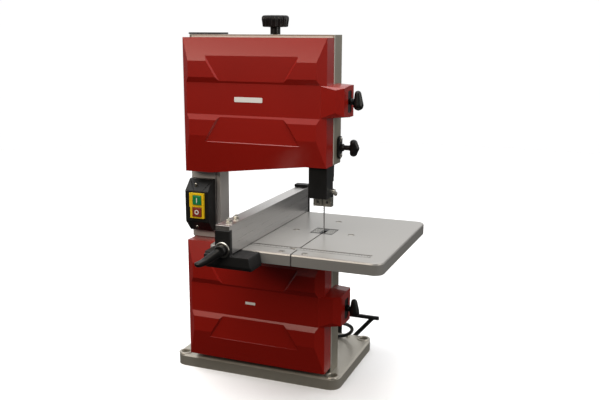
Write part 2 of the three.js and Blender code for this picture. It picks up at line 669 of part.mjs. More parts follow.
// The table hangs on a sector whose slot is an arc about the line where the blade meets the table top.
function trunnion() {
  const pivot = [0, TABLE.top];
  const under = TABLE.top - TABLE.plate - GAP;
  const outer = TILT_ARC + 12;
  const down = -90;
  const edge = arc(pivot, outer, down - 20, down + 62, 20);
  const [left, right] = [edge[0][0], edge[edge.length - 1][0]];
  const sector = prism('y', [[left, under], ...edge, [right, under]], TRUNNION_Y, TRUNNION_Y + 8);
  const half = 4.4;
  const slot = prism('y', [
    ...arc(pivot, TILT_ARC + half, down - 5, down + 50, 16),
    ...arc(pivot, TILT_ARC - half, down + 50, down - 5, 16),
  ], TRUNNION_Y - 1, TRUNNION_Y + 9);
  const bed = box(-60, 60, TRUNNION_Y - 6, TRUNNION_Y + 30, under - 5, under);
  add('trunnion_sector', cut(union(sector, bed), slot), 'silver');

  const bolt = [0, TABLE.top - TILT_ARC];
  const back = FRAME.depth + GAP;
  add('trunnion_bracket', union(
    box(-17, 15, back, back + 4, 196, 254),
    rod('y', bolt, back, TRUNNION_Y - GAP, 10),
    rod('y', bolt, back, TRUNNION_Y + 16, 4, { sides: 20 }),
  ), 'steel');
  const hub = rod('y', bolt, TRUNNION_Y + 8 + GAP, TRUNNION_Y + 20, 9);
  const handle = convex([
    ...egg([-8, TRUNNION_Y + 15, 222], 4.5, 4, 4.5), ...egg([-36, TRUNNION_Y + 21, 205], 5.5, 4.5, 5.5),
  ]);
  const bore = rod('y', bolt, TRUNNION_Y + 7, TRUNNION_Y + 16 + GAP, 4 + GAP, { sides: 20 });
  add('tilt_lock_lever', cut(union(hub, handle), bore), 'black');
}

// The rip fence: a hollow bar, a head that clamps on the table's front edge, and a hook behind its rear edge.
function fence() {
  const { x0, x1, y0, y1, z0, z1 } = FENCE;
  const section = cut(box(x0, x1, y0, y1, z0, z1), box(x0 + 2.5, x1 - 2.5, y0 - 1, y1 + 1, z0 + 2.5, z1 - 2.5));
  add('fence_bar', section, 'aluminium');
  const foot = stack('z', [
    [rectangle(x0 - 20, x1 + 37, -196, TABLE.y0 - 2), 266],
    [rectangle(x0 - 22, x1 + 37, -200, TABLE.y0 - 2), 272],
    [rectangle(x0 - 22, x1 + 33, -200, TABLE.y0 - 2), 289],
  ]);
  const upright = box(x0 - 1, x1 + 1, -200, y0 - GAP, 275, 331);
  add('fence_head', union(foot, upright, box(x0 - 22, x0 - GAP, -196, TABLE.y0 - 4, 288, 293)), 'black');
  add('fence_end_cap', union(
    box(x0 - 1, x1 + 1, y1 + GAP, y1 + 7, 263, z1 + 6),
    box(x0 - 1, x1 + 1, y1 - 10, y1 + 7, z1 + GAP, z1 + 6),
  ), 'black');
  const hub = rod('y', [LEVER.x, LEVER.z], -212, -200.4, 9);
  const arm = convex([
    ...egg([LEVER.x - 3, -209, LEVER.z - 3], 8, 5, 8), ...egg([LEVER.x - 22, -220, LEVER.z - 17], 8, 5, 6),
  ]);
  const tip = convex([
    ...egg([LEVER.x - 21, -220, LEVER.z - 17], 7, 5, 6), ...egg([LEVER.x - 30, -225, LEVER.z - 21], 8, 5.5, 5),
  ]);
  add('fence_lever', union(hub, arm, tip), 'black');
}

// ---------------------------------------------------------------- switch, lead and rear bar

function electrics() {
  const x0 = -260;
  const x1 = -212;
  const front = -36;
  const back = COLUMN.front - GAP;
  const profile = [[back, 276], [back, 374], [-17, 374], [front, 354], [front, 296], [-19, 276]];
  const body = prism('x', profile, x0, x1);
  add('switch_box', cut(body, box(-244, -222, front - 1, -20, 305, 349)), 'black');
  const lip = front - 5;
  const bezel = cut(
    union(box(-248.5, -219, lip, front - GAP, 325, 351), box(-247, -219, lip, front - GAP, 304, 326)),
    box(-241.6, -223, front - 6, front, 329, 347.4),
    box(-242.6, -223, front - 6, front, 306.6, 325),
  );
  add('switch_bezel', bezel, 'yellow');
  const button = (x, z) => box(x, -223.6, front - 6.5, front + 10, z, z + 17.2);
  add('start_button', button(-241, 329.6), 'green');
  add('stop_button', button(-242, 307.2), 'stopRed');
}

const tenths = (point) => point.map((v) => Math.round(v * 10) / 10);

// The lead's loop over the base is a slanted turn, which lands on the base's top as it closes.
const LEAD_START = [-66, 115, 71.7];
const LOOP = { centre: [-20.11, 151.64, 47.1], level: [26.51, 10.46, 0], steep: [-6.81, 17.3, -21.58] };

function loopPoint(degrees) {
  const angle = (degrees * Math.PI) / 180;
  const lift = [0, 0, Math.max(0, (degrees - 30) / 150)];
  return LOOP.centre.map((v, i) => (
    v + LOOP.level[i] * Math.cos(angle) + LOOP.steep[i] * Math.sin(angle) + lift[i]
  ));
}

// From its start the lead bends gently into the loop's top.
function loopEntry(t) {
  const end = loopPoint(-90);
  const [leaving, arriving] = [[62, 0, 0], [51.2, 20.2, 0]];
  return LEAD_START.map((v, i) => (
    (2 * t ** 3 - 3 * t ** 2 + 1) * v + (t ** 3 - 2 * t ** 2 + t) * leaving[i]
    + (3 * t ** 2 - 2 * t ** 3) * end[i] + (t ** 3 - t ** 2) * arriving[i]
  ));
}

// The mains lead leaves the motor's terminal box, loops over the base, and drops behind it to a stored coil.
function lead() {
  const glandStart = TERMINAL.x;
  const glandEnd = glandStart + 24;
  const glandAt = [TERMINAL.y, TERMINAL.z];
  add('cable_gland', union(
    rod('x', glandAt, glandStart + GAP, glandStart + 5, 8),
    rod('x', glandAt, glandStart + 4, glandEnd, 6.5, { r2: 4.6 }),
  ), 'rubber');
  const route = [
    [glandEnd + GAP, ...LEAD_START.slice(1)], LEAD_START, ...[0.33, 0.66].map(loopEntry).map(tenths),
    ...[-90, -60, -30, 0, 30, 60, 90].map(loopPoint).map(tenths), [-40, 165, 25.9], [-53, 164, 25.9],
    [-66, 166.5, 25.9], [-78, 172.5, 26], [-88, 181, 26.1], [-96.5, 191, 26.1], [-103.5, 201.5, 26.1], [-109.5, 211.5, 26],
    [-116.5, 220.5, 25.8], [-125.2, 226.9, 25.6],
  ];
  add('mains_lead', bar(route, LEAD_R, { sides: 8, steps: 48 }), 'rubber');
  add('lead_coil', turned('z', [COIL.x, COIL.y], [
    [COIL.r - COIL.half, 0.3], [COIL.r + COIL.half, 0.3], [COIL.r + COIL.half, COIL.height],
    [COIL.r - COIL.half, COIL.height],
  ]), 'rubber');
  const { y, boot } = PLUG;
  const plug = stack('x', [
    [roundedRectangle(y - 9, y + 9, 0.3, 16, 6, 3), boot - 25],
    [roundedRectangle(y - 13, y + 13, 0.3, 26, 8, 3), boot - 39],
    [roundedRectangle(y - 13, y + 13, 0.3, 26, 8, 3), boot - 61],
  ]);
  const relief = rod('x', [y, 5.4], boot - 26, boot, 5, { r2: 4, sides: 16 });
  const pins = [-9.5, 9.5].map((side) => rod('x', [y + side, 13], boot - 80, boot - 60, 2.4, { sides: 12 }));
  add('mains_plug', union(plug, relief, ...pins), 'black');
}

// A bent round bar on the back edge of the base.
function rearBar() {
  const y = BASE.y1 + 4.8;
  const r = 4.4;
  const straight = bar([[-36, y, 63], [0, y, 63], [50, y, 63]], r, { steps: 2 });
  const brace = bar([[38, y, 63], [18, y, 40], [-6, y, 12]], r, { steps: 2 });
  const leg = bar([[-34, y, 64], [-34, y, 40], [-34, y, 10]], r, { steps: 2 });
  const foot = box(-40, 2, BASE.y1 + GAP, y + 1.5, 4, 18);
  add('rear_bar', union(straight, brace, leg, foot), 'black');
}

base();
upperHousing();
lowerHousing();
column();
dustPort();
doors();
latch('upper', BAND.upper);
latch('lower', BAND.lower);
bandWheel('upper', WHEEL.upperZ);
bandWheel('lower', WHEEL.lowerZ);
blade();
motor();
tensioning();
upperGuide();
guideDrive();
lowerGuide();
table();
trunnion();
fence();
electrics();
lead();
rearBar();

export default saw;
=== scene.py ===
"""The looks of a bench-top band saw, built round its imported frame, in metres.

Lengths given to the helpers are millimetres about the blade: X = 0 is the cutting run (+X to the right),
Y = 0 is the front rim of the sheet-steel frame (+Y to the rear) and Z = 0 is the bench.
"""

import json
import math
from types import SimpleNamespace

import bmesh
import bpy
from mathutils import Matrix, Vector

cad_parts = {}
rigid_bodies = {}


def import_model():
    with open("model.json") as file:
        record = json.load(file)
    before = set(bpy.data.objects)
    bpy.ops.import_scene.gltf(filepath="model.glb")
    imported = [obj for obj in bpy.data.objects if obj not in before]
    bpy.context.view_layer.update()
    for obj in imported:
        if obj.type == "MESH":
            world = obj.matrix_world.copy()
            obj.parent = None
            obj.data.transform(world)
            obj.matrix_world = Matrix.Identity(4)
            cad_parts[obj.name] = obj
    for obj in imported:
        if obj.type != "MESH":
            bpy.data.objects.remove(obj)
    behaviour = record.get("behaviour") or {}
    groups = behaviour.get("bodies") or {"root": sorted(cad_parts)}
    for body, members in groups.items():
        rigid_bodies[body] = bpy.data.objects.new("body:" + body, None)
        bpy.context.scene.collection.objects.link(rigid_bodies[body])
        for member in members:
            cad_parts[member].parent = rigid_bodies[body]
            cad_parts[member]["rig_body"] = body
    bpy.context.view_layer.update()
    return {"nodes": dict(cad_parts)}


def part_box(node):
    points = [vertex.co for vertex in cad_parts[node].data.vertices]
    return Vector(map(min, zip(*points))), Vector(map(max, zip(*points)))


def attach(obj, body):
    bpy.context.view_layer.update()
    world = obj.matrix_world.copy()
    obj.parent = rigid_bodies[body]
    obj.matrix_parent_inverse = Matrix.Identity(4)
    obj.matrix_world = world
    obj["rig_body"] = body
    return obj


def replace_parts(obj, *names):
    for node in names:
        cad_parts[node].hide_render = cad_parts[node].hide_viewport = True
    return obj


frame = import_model()

MM = 0.001
FRAME_DEPTH = 41.0
PI = math.pi
SHARP = math.radians(30)

# ---------------------------------------------------------------- places, taken from the CAD nodes

table_low, table_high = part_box("table")
ORIGIN = Vector(((table_low.x + table_high.x) / 2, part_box("upper_housing")[1].y - FRAME_DEPTH * MM, 0))


def place(x, y, z):
    """A point about the blade, in the row frame."""
    return ORIGIN + Vector((x, y, z)) * MM


def span(node):
    """The lowest and highest x, y and z of a CAD node, in millimetres about the blade."""
    low, high = ((corner - ORIGIN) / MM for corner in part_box(node))
    return SimpleNamespace(x0=low.x, x1=high.x, y0=low.y, y1=high.y, z0=low.z, z1=high.z)


def middle(a, b):
    return (a + b) / 2


# ---------------------------------------------------------------- camera

def camera():
    """The object is seen from the front, from its right and from a little above."""
    data = bpy.data.cameras.new("camera")
    data.lens, data.sensor_width = 47.29, 36
    eye = bpy.data.objects.new("camera", data)
    azimuth, elevation, roll = math.radians(21.54), math.radians(12.02), math.radians(0.19)
    eye.location = (0.59333, -1.37775, 0.64115)
    forward = Vector((-math.sin(azimuth), math.cos(azimuth), -math.tan(elevation)))
    level = forward.to_track_quat("-Z", "Y")
    eye.rotation_mode = "QUATERNION"
    eye.rotation_quaternion = level @ Matrix.Rotation(roll, 3, "Z").to_quaternion()
    bpy.context.scene.collection.objects.link(eye)
    bpy.context.scene.camera = eye


camera()

# ---------------------------------------------------------------- meshes

# u and v across an axis, and w along it, as x, y and z
ALONG = {
    "x": lambda u, v, w: (w, u, v),
    "y": lambda u, v, w: (u, w, v),
    "z": lambda u, v, w: (u, v, w),
}


def link(name, data):
    piece = bpy.data.objects.new(name, data)
    bpy.context.scene.collection.objects.link(piece)
    return piece


def solid(name, *shapes):
    """One object of shapes, each (points, faces)."""
    points, faces = [], []
    for shape_points, shape_faces in shapes:
        faces += [[len(points) + i for i in face] for face in shape_faces]
        points += shape_points
    mesh = bpy.data.meshes.new(name)
    mesh.from_pydata([place(*p) for p in points], [], faces)
    mesh.update()
    made = bmesh.new()
    made.from_mesh(mesh)
    bmesh.ops.recalc_face_normals(made, faces=made.faces)
    made.to_mesh(mesh)
    made.free()
    return link(name, mesh)


def stacked(axis, layers):
    """Joins outlines of equal count along an axis, with flat ends; layers lists (outline, distance)."""
    count = len(layers[0][0])
    points = [ALONG[axis](u, v, w) for outline, w in layers for u, v in outline]
    faces = [
        [i * count + j, i * count + (j + 1) % count, (i + 1) * count + (j + 1) % count, (i + 1) * count + j]
        for i in range(len(layers) - 1) for j in range(count)
    ]
    last = (len(layers) - 1) * count
    return points, faces + [list(range(count)), list(range(last, last + count))]


def prism(axis, outline, start, end):
    return stacked(axis, [(outline, start), (outline, end)])


def block(x0, x1, y0, y1, z0, z1):
    return prism("z", rectangle(x0, x1, y0, y1), z0, z1)


def rectangle(u0, u1, v0, v1):
    return [(u0, v0), (u1, v0), (u1, v1), (u0, v1)]


def circle(u, v, r, count=32, lobes=0, depth=0, stretch=1):
    """A circle about (u, v): lobes and depth give it flutes, and stretch makes it an oval."""
    outline = []
    for i in range(count):
        a = 2 * PI * i / count
        reach = r + depth * math.cos(lobes * a)
        outline.append((u + reach * math.cos(a), v + reach * math.sin(a) * stretch))
    return outline


def rounded_rectangle(u0, u1, v0, v1, r):
    steps = 6
    corners = [(u1 - r, v1 - r), (u0 + r, v1 - r), (u0 + r, v0 + r), (u1 - r, v0 + r)]
    return [
        (u + r * math.cos(a), v + r * math.sin(a))
        for quarter, (u, v) in enumerate(corners)
        for a in [(quarter + i / steps) * PI / 2 for i in range(steps + 1)]
    ]


def turned(axis, u, v, profile, count=48):
    """A closed body of revolution about an axis through (u, v); profile lists (radius, distance)."""
    points, rings = [], []
    for r, w in profile:
        ring = [(u, v)] if r == 0 else circle(u, v, r, count)
        rings.append([len(points) + i for i in range(len(ring))])
        points += [ALONG[axis](a, b, w) for a, b in ring]
    faces = []
    closed = profile[0][0] != 0
    pairs = list(zip(rings, rings[1:])) + ([(rings[-1], rings[0])] if closed else [])
    for one, two in pairs:
        for i in range(count):
            j = (i + 1) % count
            if len(one) == 1:
                faces.append([one[0], two[j], two[i]])
            elif len(two) == 1:
                faces.append([one[i], one[j], two[0]])
            else:
                faces.append([one[i], one[j], two[j], two[i]])
    return points, faces


def hexagon(axis, u, v, start, end, across):
    """A hexagonal head or nut with the edge of its outer face taken off."""
    r = across / math.sqrt(3)
    ring = circle(u, v, r, 6)
    face = circle(u, v, r * 0.9, 6)
    chamfer = math.copysign(0.5, end - start)
    return stacked(axis, [(ring, start), (ring, end - chamfer), (face, end)])


def pan_head(axis, u, v, start, end, r):
    """The domed head of a cross-slot screw."""
    rise = end - start
    return turned(axis, u, v, [
        (0, start), (r, start), (r, start + 0.35 * rise), (0.85 * r, start + 0.8 * rise), (0.5 * r, end),
        (0.22 * r, end), (0.16 * r, end - 0.4 * rise), (0, end - 0.4 * rise),
    ], 24)


def cut(piece, tool):
    """Cuts the tool out of the piece, and removes the tool."""
    step = piece.modifiers.new("step", "BOOLEAN")
    step.object, step.operation, step.solver = tool, "DIFFERENCE", "EXACT"
    bpy.context.view_layer.update()
    evaluated = piece.evaluated_get(bpy.context.evaluated_depsgraph_get())
    piece.data = bpy.data.meshes.new_from_object(evaluated)
    piece.modifiers.clear()
    bpy.data.objects.remove(tool)
    return piece


def tube(name, points, r, resolution):
    """A round bar along points."""
    curve = bpy.data.curves.new(name, "CURVE")
    curve.dimensions, curve.bevel_depth, curve.bevel_resolution = "3D", r * MM, resolution
    curve.use_fill_caps = True
    spline = curve.splines.new("POLY")
    spline.points.add(len(points) - 1)
    for spot, point in zip(spline.points, points):
        spot.co = (*place(*point), 1)
    spline.use_smooth = True
    return link(name, curve)


def through(points, steps):
    """Points on a centripetal Catmull-Rom curve through the given ones."""
    line = [Vector(p) for p in points]
    line = [2 * line[0] - line[1], *line, 2 * line[-1] - line[-2]]
    out = []
    for a, b, c, d in zip(line, line[1:], line[2:], line[3:]):
        t1 = (b - a).length ** 0.5
        t2 = t1 + (c - b).length ** 0.5
        t3 = t2 + (d - c).length ** 0.5
        for i in range(steps):
            t = t1 + (t2 - t1) * i / steps
            a1 = a * (t1 - t) / t1 + b * t / t1
            a2 = b * (t2 - t) / (t2 - t1) + c * (t - t1) / (t2 - t1)
            a3 = c * (t3 - t) / (t3 - t2) + d * (t - t2) / (t3 - t2)
            b1 = a1 * (t2 - t) / t2 + a2 * t / t2
            b2 = a2 * (t3 - t) / (t3 - t1) + a3 * (t - t1) / (t3 - t1)
            out.append(b1 * (t2 - t) / (t2 - t1) + b2 * (t - t1) / (t2 - t1))
    return [tuple(p) for p in out] + [tuple(points[-1])]


def round_edges(piece, width):
    """Rounds the sharp edges and shades the rest smooth."""
    piece.data.shade_smooth()
    piece.data.set_sharp_from_angle(angle=SHARP)
    if width:
        bevel = piece.modifiers.new("rounded", "BEVEL")
        bevel.width, bevel.segments = width * MM, 2
        bevel.limit_method, bevel.angle_limit = "ANGLE", SHARP
        bevel.harden_normals = True
        bevel.use_clamp_overlap = True
    return piece


def finish_piece(piece, body, material):
    piece.data.materials.clear()
    piece.data.materials.append(material)
    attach(piece, body)
    return piece


def detail(name, body, material, *shapes, width, slot=None):
    """A small piece that the CAD leaves out."""
    return finish_piece(round_edges(solid(name, *shapes), width), body, material)


def instead(piece, node, material, width):
    """A new piece in place of a CAD node."""
    round_edges(piece, width)
    finish_piece(piece, frame["nodes"][node]["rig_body"], material)
    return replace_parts(piece, node)


# ---------------------------------------------------------------- materials

# heights in metres of the finest relief: the grain of a mould, orange peel, and drawn lines
GRAIN_HEIGHT, PEEL_HEIGHT, LINE_HEIGHT = 0.00012, 0.00015, 0.00008


def shader(name, colour, roughness, metallic=0.0, **sockets):
    """A material, its node tree and its Principled shader."""
    material = bpy.data.materials.new(name)
    material.use_nodes = True
    tree = material.node_tree
    principled = tree.nodes["Principled BSDF"]
    principled.inputs["Base Color"].default_value = (*colour, 1)
    principled.inputs["Roughness"].default_value = roughness
    principled.inputs["Metallic"].default_value = metallic
    for socket, value in sockets.items():
        principled.inputs[socket.replace("_", " ")].default_value = value
    return material, tree, principled


def noise(tree, scale, detail_level, stretch=(1, 1, 1), roughness=0.55):
    """Noise in the piece's own space, stretched along the axes."""
    where = tree.nodes.new("ShaderNodeTexCoord")
    mapping = tree.nodes.new("ShaderNodeMapping")
    mapping.inputs["Scale"].default_value = stretch
    texture = tree.nodes.new("ShaderNodeTexNoise")
    texture.inputs["Scale"].default_value = scale
    texture.inputs["Detail"].default_value = detail_level
    texture.inputs["Roughness"].default_value = roughness
    tree.links.new(where.outputs["Object"], mapping.inputs["Vector"])
    tree.links.new(mapping.outputs["Vector"], texture.inputs["Vector"])
    return texture.outputs["Fac"]


def spread(tree, value, low, high, start=0.3, end=0.7):
    """A value from start..end carried to low..high."""
    node = tree.nodes.new("ShaderNodeMapRange")
    node.inputs["From Min"].default_value, node.inputs["From Max"].default_value = start, end
    node.inputs["To Min"].default_value, node.inputs["To Max"].default_value = low, high
    tree.links.new(value, node.inputs["Value"])
    return node.outputs["Result"]


def tint(tree, principled, value, colour, variation):
    """The colour goes from darker to lighter by a share, as the value goes from 0 to 1."""
    first, second = scaled(colour, 1 - variation), scaled(colour, 1 + variation)
    mix = tree.nodes.new("ShaderNodeMix")
    mix.data_type = "RGBA"
    mix.inputs["A"].default_value, mix.inputs["B"].default_value = (*first, 1), (*second, 1)
    tree.links.new(value, mix.inputs["Factor"])
    tree.links.new(mix.outputs["Result"], principled.inputs["Base Color"])


def gloss(tree, principled, value, low, high):
    tree.links.new(spread(tree, value, low, high), principled.inputs["Roughness"])


def bump(tree, principled, value, strength, distance):
    node = tree.nodes.new("ShaderNodeBump")
    node.inputs["Strength"].default_value, node.inputs["Distance"].default_value = strength, distance
    tree.links.new(value, node.inputs["Height"])
    tree.links.new(node.outputs["Normal"], principled.inputs["Normal"])


def scaled(colour, share):
    return tuple(c * share for c in colour)


def moulded(name, colour, roughness, depth, grain=1600, variation=0.12, mottle=0.15, **sockets):
    """Injection-moulded plastic: a fine even grain, and a slow change of tone and gloss."""
    material, tree, principled = shader(name, colour, roughness, **sockets)
    slow = noise(tree, 9, 2)
    tint(tree, principled, spread(tree, slow, 0, 1), colour, variation)
    gloss(tree, principled, noise(tree, 60, 4), roughness * (1 - mottle), roughness * (1 + mottle))
    if depth:
        bump(tree, principled, noise(tree, grain, 2), depth, GRAIN_HEIGHT)
    return material


def painted(name, colour, roughness, metallic, flake, depth=0.2, grain=2600, cloud=40, mottle=0.13,
            **sockets):
    """Metallic paint: fine flakes in the colour and the faint orange peel of a sprayed coat."""
    material, tree, principled = shader(name, colour, roughness, metallic, **sockets)
    flakes = noise(tree, grain, 1)
    tint(tree, principled, spread(tree, flakes, 0, 1, 0.35, 0.65), colour, flake)
    gloss(tree, principled, noise(tree, cloud, 1), roughness * (1 - mottle), roughness * (1 + mottle))
    if depth:
        bump(tree, principled, noise(tree, 420, 3), depth, PEEL_HEIGHT)
    return material


def brushed(name, colour, roughness, stretch, depth, scale=220, variation=0.1):
    """Drawn or ground metal: its lines run along the axis whose stretch factor is small."""
    material, tree, principled = shader(name, colour, roughness, 1.0)
    lines = noise(tree, scale, 5, stretch, 0.7)
    tint(tree, principled, spread(tree, lines, 0, 1), colour, variation)
    gloss(tree, principled, lines, roughness * 0.75, roughness * 1.3)
    bump(tree, principled, lines, depth, LINE_HEIGHT)
    return material


RED = moulded("red_plastic", (0.26, 0.009, 0.005), 0.25, depth=0, variation=0.03, mottle=0.02,
              Specular_IOR_Level=0.45)
FRAME_PAINT = painted("frame_paint", (0.24, 0.22, 0.175), 0.42, 0.4, 0.06)
# a lighter copy of the frame paint for the column and its cover: painted light, where the column's face
# catches the light
PAINTED_LIGHT_COLUMN = painted("painted_light_on_column", (0.46, 0.44, 0.42), 0.42, 0.3, 0.06)
BASE_PAINT = painted("base_paint", (0.37, 0.345, 0.295), 0.32, 0.5, 0.06, depth=0.1)
TABLE_PAINT = painted("table_paint", (0.285, 0.276, 0.26), 0.28, 0.35, 0.01, depth=0, grain=5, cloud=6,
                      mottle=0.005)
TRUNNION = painted("trunnion_cast", (0.42, 0.41, 0.39), 0.45, 0.7, 0.12, depth=0.5)
BLACK = moulded("black_plastic", (0.008, 0.008, 0.008), 0.45, depth=0.35, variation=0.15,
                Specular_IOR_Level=0.25)
BLACK_FINE = moulded("black_plastic_smooth", (0.006, 0.006, 0.006), 0.32, grain=900, depth=0.1,
                     variation=0.15, Specular_IOR_Level=0.3)
ENAMEL = painted("black_enamel", (0.007, 0.007, 0.007), 0.36, 0.0, 0.25, Specular_IOR_Level=0.3)
STEEL = brushed("machined_steel", (0.5, 0.5, 0.49), 0.32, (1, 1, 1), 0.1)
BRIGHT = painted("bright_steel", (0.46, 0.445, 0.40), 0.28, 1.0, 0.05, depth=0, grain=60, mottle=0.08)
BLADE = brushed("blade_steel", (0.2, 0.195, 0.19), 0.34, (1, 1, 0.03), 0.1)
CAST = painted("cast_aluminium", (0.55, 0.55, 0.54), 0.42, 0.9, 0.08, depth=0.6)
FENCE = brushed("fence_aluminium", (0.55, 0.535, 0.52), 0.33, (1, 0.012, 1), 0.2, scale=900, variation=0.09)
TYRE = moulded("tyre_rubber", (0.02, 0.02, 0.02), 0.75, grain=1200, depth=0.5)
SHEATH = moulded("lead_sheath", (0.010, 0.010, 0.011), 0.33, grain=500, depth=0.06)
YELLOW = moulded("yellow_plastic", (0.80, 0.52, 0.012), 0.3, grain=900, depth=0.08, variation=0.05)
GREEN = moulded("green_plastic", (0.008, 0.19, 0.062), 0.3, grain=900, depth=0.08, variation=0.08)
STOP_RED = moulded("stop_red_plastic", (0.22, 0.03, 0.018), 0.3, grain=900, depth=0.08, variation=0.08)
WHITE = moulded("white_print", (0.72, 0.71, 0.68), 0.45, grain=900, depth=0.05, variation=0.05)
# dark print, and also dark patches of painted shade in slots and sockets
DARK = moulded("print_and_painted_shade", (0.02, 0.02, 0.02), 0.5, grain=900, depth=0.05, variation=0.1)
# a lighter copy of the frame paint: a painted highlight along the housings' front rims
RIM_HIGHLIGHT = painted("rim_painted_highlight", (0.52, 0.50, 0.44), 0.4, 0.3, 0.08)


# ---------------------------------------------------------------- the mains lead

LEAD_R = 3.5
LEAD_EXIT, LEAD_START = (-73.7, 115, 71.7), (-66, 115, 71.7)

# the slanted turn over the base: its middle, and the way from there to its right end and to its foot
LOOP_CENTRE, LOOP_LEVEL, LOOP_STEEP = (-20.11, 151.64, 47.1), (26.51, 10.46, 0), (-6.81, 17.3, -21.58)


def loop_point(degrees):
    """A point of the turn, whose foot is lifted a little to lie on the base's top."""
    angle = math.radians(degrees)
    lift = (0, 0, max(0, (degrees - 30) / 150))
    return tuple(
        centre + level * math.cos(angle) + steep * math.sin(angle) + rise
        for centre, level, steep, rise in zip(LOOP_CENTRE, LOOP_LEVEL, LOOP_STEEP, lift)
    )


def loop_entry(t):
    """From its start the lead bends gently into the turn's top."""
    leaving, arriving = (62, 0, 0), (51.2, 20.2, 0)
    return tuple(
        (2 * t**3 - 3 * t**2 + 1) * a + (t**3 - 2 * t**2 + t) * slope_a
        + (3 * t**2 - 2 * t**3) * b + (t**3 - t**2) * slope_b
        for a, slope_a, b, slope_b in zip(LEAD_START, leaving, loop_point(-90), arriving)
    )


def tenths(point):
    return tuple(round(v, 1) for v in point)


LEAD_ROUTE = [
    LEAD_EXIT, LEAD_START, *(tenths(loop_entry(t)) for t in (0.33, 0.66)),
    *(tenths(loop_point(degrees)) for degrees in range(-90, 91, 30)),
    (-40, 165, 25.9), (-53, 164, 25.9), (-66, 166.5, 25.9), (-78, 172.5, 26), (-88, 181, 26.1),
    (-96.5, 191, 26.1), (-103.5, 201.5, 26.1), (-109.5, 211.5, 26), (-116.5, 220.5, 25.8),
    (-125.2, 226.9, 25.6),
]

# The coil's knots are turns from its front, radius and height.
# It goes down an inner column, up a middle one and down an outer one.
COIL_X, COIL_Y, COIL_R = -165, 260, 30
PITCH = 2 * LEAD_R
COIL_KNOTS = [
    (0, COIL_R, 18), (2, COIL_R, 4), (2.32, COIL_R + PITCH, 4), (3.48, COIL_R + PITCH, 18),
    (3.81, COIL_R + 2 * PITCH, 18), (4, COIL_R + 2 * PITCH, 18), (4.81, COIL_R + 2 * PITCH, 11),
    (5, COIL_R + 2 * PITCH, 11), (5.81, COIL_R + 2 * PITCH, 4), (6, COIL_R + 2 * PITCH, 4),
]
TURN_STEPS = 24


def lead_points():
    """The route to the coil, the way down on to it, its turns, and the run to the plug."""
    high, drop_start, drop = 25.6, COIL_X + 24, 42

    def fall(travel):
        """How far the lead still stands above the coil's top turn, after so much of the way down."""
        return (high - COIL_KNOTS[0][2]) * (1 + math.cos(PI * min(travel / drop, 1))) / 2

    points = LEAD_ROUTE + [(drop_start + 6, COIL_Y - COIL_R - 0.3, high)]
    for i in range(5):
        travel = 6 * i
        points.append((drop_start - travel, COIL_Y - COIL_R, COIL_KNOTS[0][2] + fall(travel)))
    for i in range(1, 6 * TURN_STEPS + 1):
        turn = i / TURN_STEPS
        spans = zip(COIL_KNOTS, COIL_KNOTS[1:])
        (t0, r0, z0), (t1, r1, z1) = next(pair for pair in spans if turn <= pair[1][0])
        t = (turn - t0) / (t1 - t0)
        r = r0 + (r1 - r0) * t * t * (3 - 2 * t)
        z = z0 + (z1 - z0) * t + fall(drop_start - COIL_X + 2 * PI * r * turn)
        angle = -PI / 2 - turn * 2 * PI
        points.append((COIL_X + r * math.cos(angle), COIL_Y + r * math.sin(angle), z))
    boot = span("mains_plug").x1
    front = COIL_Y - COIL_R - 2 * PITCH
    return points + [(COIL_X - 8, front, 4.1), (COIL_X - 16, front, 4.6), (boot - 1, front, 5.4)]


def lead():
    route = through(lead_points(), 4)
    sheath = tube("mains_lead_sheath", route, LEAD_R, resolution=5)
    finish_piece(sheath, "frame", SHEATH)
    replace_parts(sheath, "mains_lead", "lead_coil")
    gland = cable_relief()
    plug = mains_plug()


def cable_relief():
    """The moulded strain relief: a nut, then a tapered boot with rings."""
    at = span("cable_gland")
    y, z = middle(at.y0, at.y1), middle(at.z0, at.z1)
    x, end = at.x0, at.x1
    profile = [(0, x), (6.4, x), (6.4, x + 3), (5.6, x + 3.6)]
    rings = 5
    pitch = (end - x - 6) / rings
    for i in range(rings):
        start = x + 4.4 + i * pitch
        r = 5.9 - 1.3 * i / rings
        root = r - 0.9
        profile += [(root, start), (r, start + 0.5), (r, start + pitch - 1.4), (root, start + pitch - 0.9)]
    profile += [(4.6, end - 1), (4.3, end), (0, end)]
    return instead(solid("strain_relief", turned("x", y, z, profile, 32)), "cable_gland", SHEATH, 0.2)


def mains_plug():
    """A plain two-pin plug with ribs to grip it by, lying beside the coil."""
    at = span("mains_plug")
    y, z = middle(at.y0, at.y1), middle(at.z0, at.z1)
    half, front, back = (at.y1 - at.y0) / 2, at.x1 - 60.8, at.x1 - 26
    lead_z = 5.4

    def section(x, share, centre_z, r=6):
        h = half * share
        return rounded_rectangle(y - h, y + h, centre_z - h, centre_z + h, r * share), x

    boot = [section(at.x1, 0.34, lead_z, 12), section(at.x1 - 8, 0.36, lead_z, 12)]
    shoulder = [section(at.x1 - 20, 0.5, 7.5, 10), section(back, 0.86, z - 0.5)]
    body = [section(back - 6, 1, z), section(front + 1.8, 1, z), section(front, 0.93, z)]
    plug = solid("mains_plug_body", stacked("x", boot + shoulder + body))
    grooves = []
    for i in range(4):
        x = back - 12 - 3 * i
        grooves.append(block(x, x + 1.4, y - half, y - half + 0.9, z - 7, z + 7))
    cut(plug, solid("grip_ribs", *grooves))
    instead(plug, "mains_plug", BLACK, 0.5)
    root, tip = front + 1, at.x0 + 0.2
    profile = [(0, root), (2.3, root), (2.3, tip + 1), (1.6, tip), (0, tip)]
    for side in (-1, 1):
        pin_y = y + side * 9.5
        pin = detail(f"plug_pin_{side + 1}", "frame", BRIGHT, turned("x", pin_y, z, profile, 24), width=0.1)
        pin.parent, pin.matrix_parent_inverse = plug, plug.matrix_world.inverted()
    return plug


lead()

# ---------------------------------------------------------------- the CAD nodes that show as they are

